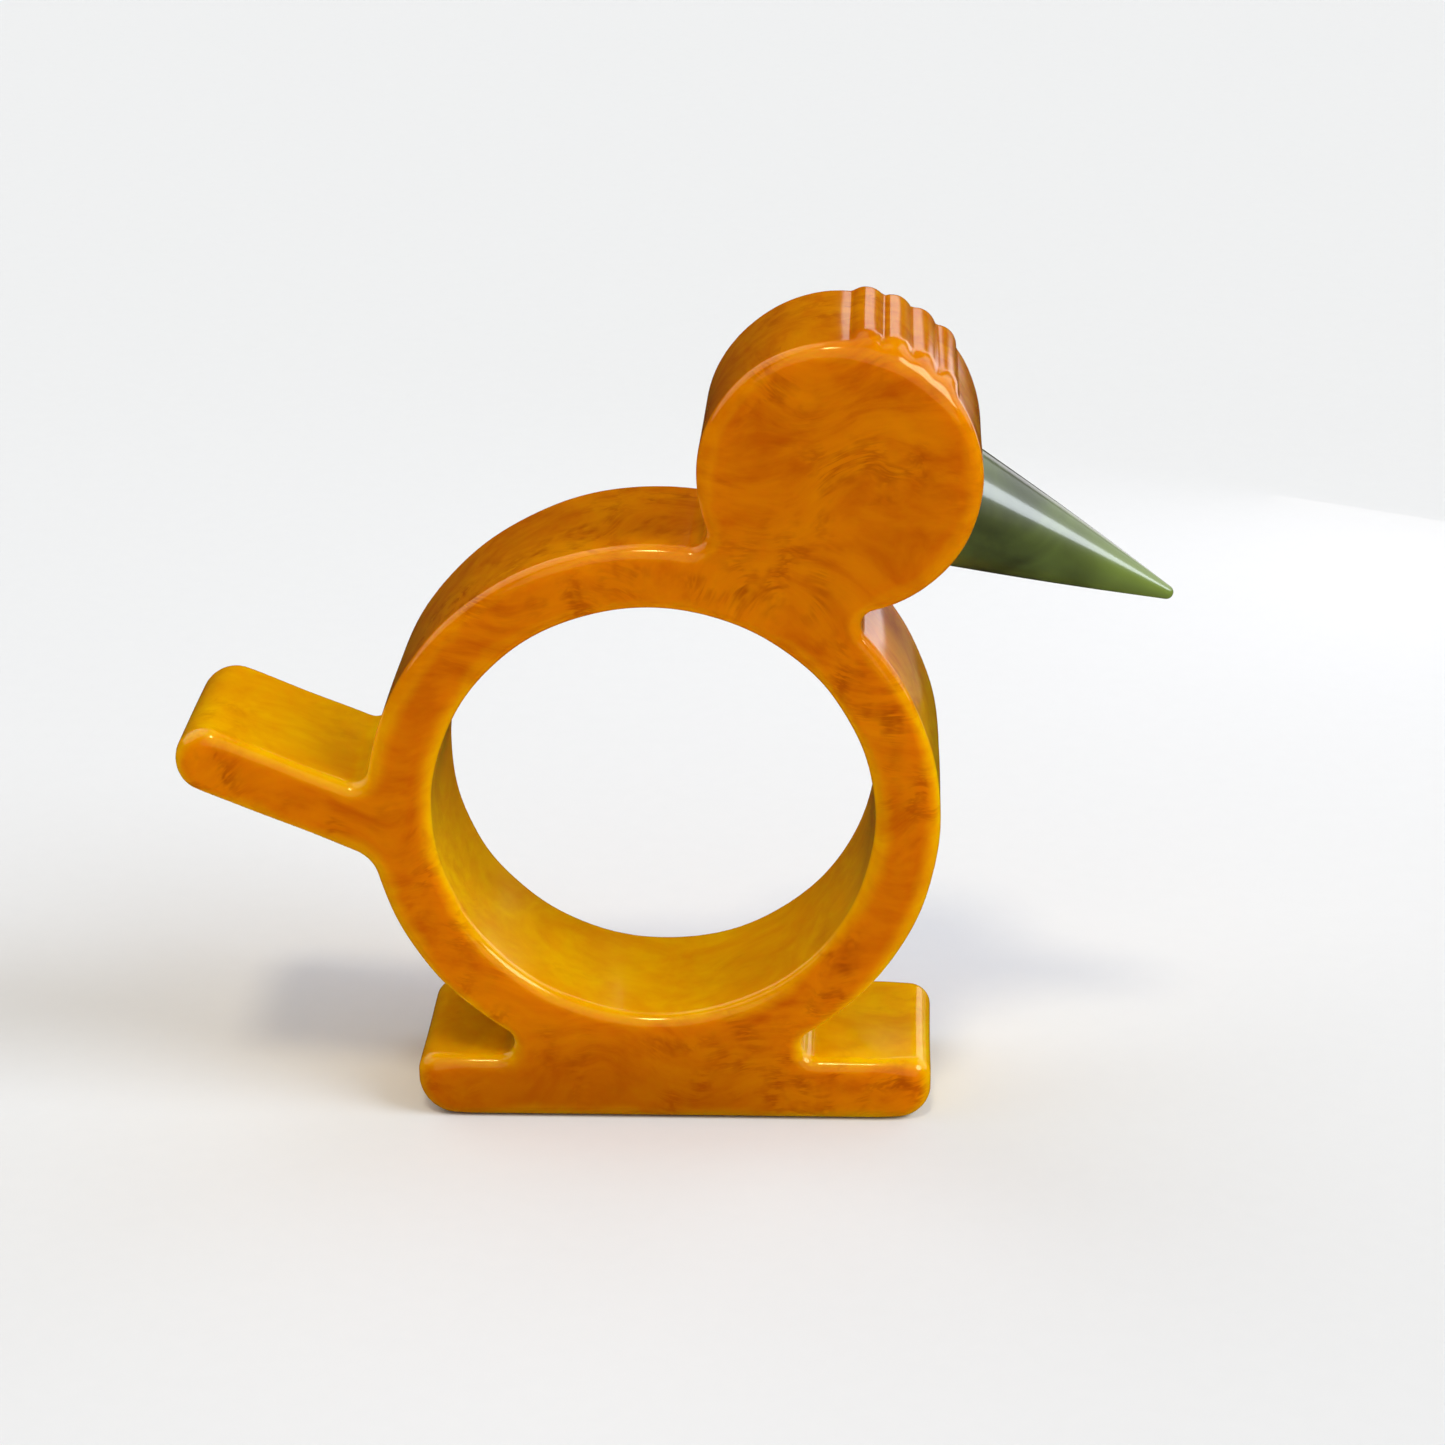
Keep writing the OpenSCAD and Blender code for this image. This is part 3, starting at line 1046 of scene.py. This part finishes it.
@dataclass
class BeakSeat:
    """The round seat and blind socket in the head, and the beak's axis, in millimetres."""

    head: Disc
    dip: float = 23.4
    drop: float = 0.55
    sink: float = 0.1
    beak_r: float = 5.35
    gap: float = 0.1
    tenon_r: float = 2.0
    tenon_len: float = 6.0
    cement_t: float = 0.1

    @property
    def floor(self) -> float:
        """Distance of the seat's floor from the head's centre."""
        return math.sqrt(self.head.radius ** 2 - (self.beak_r + self.drop) ** 2) - self.sink

    @property
    def shoulder(self) -> float:
        """Distance of the beak's shoulder from the head's centre."""
        return self.floor + self.cement_t

    @property
    def axis(self) -> np.ndarray:
        """Direction that the beak points in."""
        x, z = polar(1.0, -self.dip)
        return np.array([x, 0.0, z])

    @property
    def centre(self) -> np.ndarray:
        """The point of the beak's axis that is nearest to the head's centre."""
        x, z = shift(self.head.centre, polar(self.drop, -90 - self.dip))
        return np.array([x, 0.0, z])

    def cut(self, x: np.ndarray, y: np.ndarray, z: np.ndarray) -> np.ndarray:
        """Signed distance to the space that the seat and the socket take out of the head.

        Args:
            x: Places along the sheet.
            y: Places through the sheet.
            z: Heights.

        Returns:
            Distances, negative in the seat and the socket.
        """
        dx, dz = x - self.centre[0], z - self.centre[2]
        along = dx * self.axis[0] + dz * self.axis[2]
        out = np.sqrt(np.maximum(dx * dx + y * y + dz * dz - along * along, 0.0))
        seat = np.maximum(out - self.beak_r - self.gap, self.floor - along)
        bottom = self.shoulder - self.tenon_len - self.cement_t
        socket = np.maximum(out - self.tenon_r - self.cement_t, bottom - along)
        return np.minimum(seat, socket)


@dataclass
class ResinBird:
    """The one sawn and polished piece: ring, head with its comb, tail and foot."""

    plan: BirdPlan
    seat: BeakSeat
    finish: AmberPhenolic = field(default_factory=AmberPhenolic)
    edge_r: float = 1.1
    tail_wear: float = 0.9
    foot_wear: float = 0.6
    brow_wear: float = 0.5
    wear_span: float = 5.0
    brow_plateau: float = 0.5
    brow_turn: Pair = (0.0, 110.0)
    comb_fade: float = 3.2
    rim_round: float = 0.15
    unevenness: float = 0.035
    unevenness_span: float = 13.0
    flat_sole: float = 1.0
    sole_span: float = 2.0
    grid: float = 0.36
    margin_cells: float = 2.3
    settle_rounds: int = 3
    probe: float = 0.01
    least_slope: float = 0.5
    node: str = "bird_body"

    def edge_radius(self, x: np.ndarray, z: np.ndarray) -> np.ndarray:
        """Radius that polishing has left on the edge, which is larger where fingers rub it.

        Args:
            x: Places along the sheet.
            z: Heights.

        Returns:
            The radius in millimetres.
        """
        plan, head = self.plan, self.plan.head
        tip = shift(plan.ring.centre, polar(plan.tail_tip, 180 - plan.tail_slope),
                    polar(-plan.tail_drop, 90 - plan.tail_slope))
        tail = ease(1 - np.hypot(x - tip[0], z - tip[1]) / self.wear_span)
        low = ease(1 - (z - plan.foot_t) / plan.foot_t)
        ends = np.minimum(plan.foot_front - x, x + plan.foot_back)
        foot = ease(1 - ends / self.wear_span) * low
        comb_middle = plan.comb_first - plan.comb_pitch * (plan.comb_count - 1) / 2
        brow_at = shift(head.centre, polar(plan.head_r, comb_middle))
        away = np.hypot(x - brow_at[0], z - brow_at[1]) / self.wear_span
        brow = ease(1 + self.brow_plateau - away)
        return self.edge_r + self.tail_wear * tail + self.foot_wear * foot + self.brow_wear * brow

    def flat_distances(self, x: np.ndarray, z: np.ndarray) -> tuple[np.ndarray, np.ndarray]:
        """Signed distances to the outline in the plane of the sheet.

        Args:
            x: Places along the sheet.
            z: Heights.

        Returns:
            The distance with the comb worn away, and the distance with the comb.
        """
        combed = np.full(np.broadcast(x, z).shape, np.inf)
        for part in self.plan.outline():
            reach = part.reach(x, z)
            combed = np.where(np.abs(reach) < np.abs(combed), reach, combed)
        head = self.plan.head
        dx, dz = x - head.centre[0], z - head.centre[1]
        out = np.hypot(dx, dz)
        turn = np.degrees(np.arctan2(dz, dx))
        start, end = self.brow_turn
        brow = (out > head.radius / 2) & (turn > start) & (turn < end)
        bore = self.plan.bore_r - np.hypot(x, z - self.plan.ring_z)
        plain = np.where(brow, out - head.radius, combed)
        return np.maximum(plain, bore), np.maximum(combed, bore)

    def solid(
        self, plain: np.ndarray, combed: np.ndarray, radius: np.ndarray,
        x: np.ndarray, y: np.ndarray, z: np.ndarray,
    ) -> np.ndarray:
        """Signed distance to the polished bird.

        Args:
            plain: Distance to the outline with the comb worn away.
            combed: Distance to the outline with the comb.
            radius: The edge radius.
            x: Places along the sheet.
            y: Places through the sheet.
            z: Heights.

        Returns:
            Distances in millimetres, negative inside.
        """
        half = self.plan.sheet_t / 2
        fade = ease((y + half) / self.comb_fade)
        flat = plain + (combed - plain) * fade
        side = np.abs(y) - half
        qx, qy = flat + radius, side + radius
        body = np.minimum(np.maximum(qx, qy), 0) - radius
        body = body + np.hypot(np.maximum(qx, 0), np.maximum(qy, 0))
        # Two crossed sets of slow waves, out of step with each other, stand for work by hand.
        k = 2 * math.pi / self.unevenness_span
        hand = (
            np.sin(k * (x + 0.3 * z)) * np.cos(k * 0.8 * (z - 0.4 * y))
            + 0.6 * np.sin(k * 1.7 * (0.5 * x - z) + 1.3) * np.cos(k * 0.9 * y)
        )
        body = body + self.unevenness * hand * ease((z - self.flat_sole) / self.sole_span)
        cut = -self.seat.cut(x, y, z)
        r = self.rim_round
        over = np.hypot(np.maximum(r + body, 0), np.maximum(r + cut, 0)) - r
        return np.where((body > -r) & (cut > -r), over, np.maximum(body, cut))

    def distance(self, p: np.ndarray) -> np.ndarray:
        """Signed distance from points to the polished bird.

        Args:
            p: The points.

        Returns:
            Distances in millimetres, negative inside.
        """
        x, y, z = p.T
        plain, combed = self.flat_distances(x, z)
        return self.solid(plain, combed, self.edge_radius(x, z), x, y, z)

    def slope(self, p: np.ndarray) -> tuple[np.ndarray, np.ndarray]:
        """Distance at points and its gradient.

        Args:
            p: The points.

        Returns:
            The distances, and the gradient at each point.
        """
        base = self.distance(p)
        rise = [
            (self.distance(p + self.probe * axis) - base) / self.probe for axis in np.eye(3)
        ]
        return base, np.stack(rise, axis=1)

    def net(self) -> tuple[np.ndarray, np.ndarray, np.ndarray]:
        """Wraps a net round the bird and settles it on the true surface.

        Returns:
            The net's points, its faces, and the surface's direction at each point.
        """
        low, high = (np.array(c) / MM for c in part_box(self.node))
        start = low - self.margin_cells * self.grid
        sizes = np.ceil((high - low) / self.grid + 2 * self.margin_cells).astype(int) + 1
        x, y, z = (start[i] + self.grid * np.arange(sizes[i]) for i in range(3))
        gx, gz = np.meshgrid(x, z, indexing="ij")
        plain, combed = self.flat_distances(gx, gz)
        radius = self.edge_radius(gx, gz)
        field_values = self.solid(
            *(v[:, None, :] for v in (plain, combed, radius, gx)), y[None, :, None], gz[:, None, :]
        )
        points, faces = surface_net(field_values, start, self.grid)
        for _ in range(self.settle_rounds):
            points = 0.5 * points + 0.5 * neighbour_average(points, faces)
            points = self._project(points)
        points = self._project(points)
        _, grad = self.slope(points)
        return points, faces, grad / np.linalg.norm(grad, axis=1)[:, None]

    def _project(self, points: np.ndarray) -> np.ndarray:
        """Moves points straight to the surface.

        Args:
            points: Points near the surface.

        Returns:
            The moved points.
        """
        base, grad = self.slope(points)
        steep = np.maximum((grad * grad).sum(axis=1), self.least_slope ** 2)
        return points - (base / steep)[:, None] * grad

    def build(self) -> bpy.types.Object:
        """Makes the bird, dresses it and puts it on the frame in place of its CAD solid.

        Returns:
            The bird.
        """
        points, faces, directions = self.net()
        bird = mesh_object("resin_bird", points, faces, directions)
        _, combed = self.flat_distances(points[:, 0], points[:, 2])
        # The depth in from the outline lets the finish paint a lit band along the faces' edges.
        depth = bird.data.attributes.new(RIM_DEPTH, "FLOAT", "POINT")
        depth.data.foreach_set("value", np.clip(-combed, 0.0, self.plan.ring_wall))
        give_finish(bird, self.finish.material())
        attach(bird, ROOT)
        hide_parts(self.node)
        return bird


@dataclass
class TurnedBeak:
    """The turned cone with its tenon, drawn as half a section and spun round its axis."""

    seat: BeakSeat
    finish: GreenPhenolic = field(default_factory=GreenPhenolic)
    length: float = 20.7
    tip_r: float = 0.6
    shoulder_round: float = 0.25
    tenon_chamfer: float = 0.4
    belly: float = 0.12
    turns: int = 128
    rows: int = 72
    shoulder_rows: int = 4
    tip_rows: int = 10
    node: str = "beak"

    def section(self) -> list[Pair]:
        """Half section of the beak and its tenon.

        Returns:
            Points as (radius, place along the axis), from the tenon's end to the tip.
        """
        base_r, tenon_r = self.seat.beak_r, self.seat.tenon_r
        tip_centre = self.length - self.tip_r
        taper = math.atan(base_r / tip_centre)
        taper -= math.asin(self.tip_r / math.hypot(tip_centre, base_r))
        end = -self.seat.tenon_len
        points = [(0.0, end), (tenon_r / 2, end), (tenon_r - self.tenon_chamfer, end)]
        points += [(tenon_r, end + self.tenon_chamfer), (tenon_r, end / 2), (tenon_r, 0.0)]
        round_r = self.shoulder_round
        points.append(((tenon_r + base_r) / 2, 0.0))
        for i in range(self.shoulder_rows + 1):
            a = (math.pi / 2 + taper) * i / self.shoulder_rows - math.pi / 2
            points.append((
                base_r - round_r * (1 + math.tan(taper) * 0.5) + round_r * math.cos(a),
                round_r + round_r * math.sin(a),
            ))
        start_r, start = points[-1]
        stop_r = self.tip_r * math.cos(taper)
        stop = tip_centre + self.tip_r * math.sin(taper)
        for i in range(1, self.rows + 1):
            t = i / self.rows
            bulge = self.belly * math.sin(math.pi * t)
            points.append((start_r + (stop_r - start_r) * t + bulge, start + (stop - start) * t))
        for i in range(1, self.tip_rows):
            a = taper + (math.pi / 2 - taper) * i / self.tip_rows
            points.append((self.tip_r * math.cos(a), tip_centre + self.tip_r * math.sin(a)))
        points.append((0.0, self.length))
        return points

    def build(self) -> bpy.types.Object:
        """Spins the section, dresses it and puts it on the frame in place of its CAD solid.

        Returns:
            The beak.
        """
        section = self.section()
        origin = self.seat.centre + self.seat.shoulder * self.seat.axis
        across = np.array([0.0, 1.0, 0.0])
        up = np.cross(self.seat.axis, across)
        angles = 2 * math.pi * np.arange(self.turns) / self.turns
        spokes = np.cos(angles)[:, None] * across + np.sin(angles)[:, None] * up
        points = [origin + section[0][1] * self.seat.axis]
        for radius, along in section[1:-1]:
            points.extend(origin + along * self.seat.axis + radius * spokes)
        points.append(origin + section[-1][1] * self.seat.axis)
        n, last = self.turns, len(points) - 1
        faces: list[tuple[int, ...]] = []
        for j in range(n):
            k = (j + 1) % n
            faces.append((0, 1 + k, 1 + j))
            for row in range(len(section) - 3):
                a = 1 + row * n
                faces.append((a + j, a + k, a + n + k, a + n + j))
            faces.append((last, last - n + j, last - n + k))
        beak = mesh_object("turned_beak", np.array(points), faces)
        give_finish(beak, self.finish.material())
        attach(beak, ROOT)
        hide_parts(self.node)
        return beak


@dataclass
class CementFilm:
    """The film of cement, which keeps its CAD solid and takes a better finish."""

    finish: CuredCement = field(default_factory=CuredCement)
    node: str = "beak_cement"

    def dress(self) -> bpy.types.Object:
        """Puts the finish on the CAD solid.

        Returns:
            The film.
        """
        film = frame["nodes"][self.node]
        film.data.materials.clear()
        film.data.materials.append(self.finish.material())
        return film


# ------------------------------------------------------------------ the studio


@dataclass(frozen=True)
class FarSoftbox:
    """A soft round studio light, so far off that it lights the whole floor alike.

    Its bearing runs from +Y towards +X and its height above the floor's level, both in degrees.
    Its width is the angle that it fills, seen from the object.
    """

    name: str
    bearing: float
    height: float
    width: float
    strength: float
    tint: str

    def build(self) -> bpy.types.Object:
        """Makes the light.

        Returns:
            The light.
        """
        lamp = bpy.data.lights.new(self.name, "SUN")
        lamp.angle = math.radians(self.width)
        lamp.energy = self.strength
        lamp.color = linear(self.tint)[:3]
        light = bpy.data.objects.new(self.name, lamp)
        bpy.context.scene.collection.objects.link(light)
        light.rotation_euler = sky_way(self.bearing, self.height).to_track_quat("Z", "Y").to_euler()
        return light


@dataclass(frozen=True)
class ReflectorCard:
    """A small glowing card that shows as a soft patch in the gloss. Sizes in millimetres."""

    name: str
    place: Triple
    size: Pair
    watts: float
    tint: str
    aim: Triple

    def build(self) -> bpy.types.Object:
        """Makes the card, out of the camera's sight.

        Returns:
            The card.
        """
        lamp = bpy.data.lights.new(self.name, "AREA")
        lamp.shape = "RECTANGLE"
        lamp.size, lamp.size_y = (s * MM for s in self.size)
        lamp.energy = self.watts
        lamp.color = linear(self.tint)[:3]
        card = bpy.data.objects.new(self.name, lamp)
        card.visible_camera = False
        bpy.context.scene.collection.objects.link(card)
        place, aim = Vector(self.place) * MM, Vector(self.aim) * MM
        turn = (place - aim).to_track_quat("Z", "Y").to_matrix().to_4x4()
        card.matrix_world = Matrix.Translation(place) @ turn
        return card


@dataclass
class Studio:
    """Pale paper floor, soft lights, a dim surround and three reflector cards.

    The cards hang behind the bird and show as pale patches in the gloss of its comb and of the
    sides that slope down behind it.
    """

    paper: StudioPaper = field(default_factory=StudioPaper)
    floor_mm: float = 6000.0
    surround: str = "#FFF0E0"
    surround_strength: float = 0.01
    lights: tuple[FarSoftbox | ReflectorCard, ...] = (
        FarSoftbox("key_softbox", 109.0, 38.0, 30.0, 1.9, "#EEF6FF"),
        FarSoftbox("side_window", 62.0, 28.0, 52.0, 0.7, "#F4F8FF"),
        FarSoftbox("overhead_softbox", 188.0, 67.0, 10.0, 0.8, "#FFEECB"),
        FarSoftbox("ceiling", 310.0, 66.0, 78.0, 0.4, "#FFFAF6"),
        FarSoftbox("left_fill", 292.0, 44.0, 70.0, 1.0, "#FFF8F2"),
        FarSoftbox("front_fill", 170.0, 34.0, 80.0, 0.72, "#FFF8F2"),
        ReflectorCard(
            "upper_blush_card", (48.5, 150.0, 123.0), (71.0, 44.0), 0.0098, "#FAF6FF",
            (20.0, 0.0, 66.0),
        ),
        ReflectorCard(
            "blush_card", (98.0, 150.0, 64.0), (54.0, 72.0), 0.0162, "#FAF6FF",
            (20.0, 0.0, 66.0),
        ),
        ReflectorCard(
            "low_blush_card", (96.0, 150.0, 12.0), (54.0, 44.0), 0.0016, "#FFF0EA",
            (22.0, 0.0, 40.0),
        ),
    )

    def build(self) -> None:
        """Lays the floor and sets up the lights and the surround."""
        half = self.floor_mm / 2
        corners = [(-half, -half, 0), (half, -half, 0), (half, half, 0), (-half, half, 0)]
        floor = mesh_object("paper_floor", np.array(corners), [(0, 1, 2, 3)])
        floor.data.materials.append(self.paper.material())
        floor.visible_glossy = False  # or the resin's sides mirror it as a pale veil
        for light in self.lights:
            light.build()
        world = bpy.data.worlds.new("surround")
        world.use_nodes = True
        background = world.node_tree.nodes["Background"]
        background.inputs["Color"].default_value = linear(self.surround)
        background.inputs["Strength"].default_value = self.surround_strength
        bpy.context.scene.world = world


@dataclass(frozen=True)
class StudioCamera:
    """The camera, which looks at the middle of the bird. Angles in degrees, sizes in mm."""

    azimuth: float = 2.95
    elevation: float = 22.83
    roll: float = -0.81
    distance: float = 306.5
    aim: Triple = (5.72, 0.0, 34.62)
    lens: float = 88.0
    sensor: float = 36.0

    def build(self) -> bpy.types.Object:
        """Makes the camera and gives it to the scene.

        Returns:
            The camera.
        """
        az, el, roll = (math.radians(v) for v in (self.azimuth, self.elevation, self.roll))
        back = Vector((math.sin(az) * math.cos(el), -math.cos(az) * math.cos(el), math.sin(el)))
        level = Vector((math.cos(az), math.sin(az), 0.0))
        upright = back.cross(level)
        right = level * math.cos(roll) + upright * math.sin(roll)
        up = upright * math.cos(roll) - level * math.sin(roll)
        place = (Vector(self.aim) + back * self.distance) * MM
        lens = bpy.data.cameras.new("studio_camera")
        lens.lens, lens.sensor_width, lens.sensor_fit = self.lens, self.sensor, "HORIZONTAL"
        lens.clip_start, lens.clip_end = 0.01, 20.0
        camera = bpy.data.objects.new("studio_camera", lens)
        bpy.context.scene.collection.objects.link(camera)
        turn = Matrix((right, up, back)).transposed().to_4x4()
        camera.matrix_world = Matrix.Translation(place) @ turn
        bpy.context.scene.camera = camera
        return camera


def plan_from_frame() -> BirdPlan:
    """Takes the bore's radius, its height and the sheet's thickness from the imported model.

    Returns:
        The sizes that the bird is sawn to.
    """
    bore = next(m for m in frame["record"]["mounts"] if m["name"] == "napkin_bore")
    low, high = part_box("bird_body")
    return BirdPlan(
        bore_r=bore["dims"]["r_mm"],
        ring_z=bore["pos_m"][2] / MM,
        sheet_t=(high[1] - low[1]) / MM,
    )


def report(piece: bpy.types.Object) -> None:
    """Logs a piece's name and how many faces it has."""
    log.info("%s: %d faces", piece.name, len(piece.data.polygons))


def main() -> None:
    """Builds the studio and every piece in order."""
    logging.basicConfig(level=logging.INFO, format="%(message)s")
    bpy.context.scene.view_settings.view_transform = "Standard"
    StudioCamera().build()
    Studio().build()
    plan = plan_from_frame()
    seat = BeakSeat(plan.head)
    report(ResinBird(plan, seat).build())
    report(TurnedBeak(seat).build())
    report(CementFilm().dress())


if __name__ == "__main__":
    main()
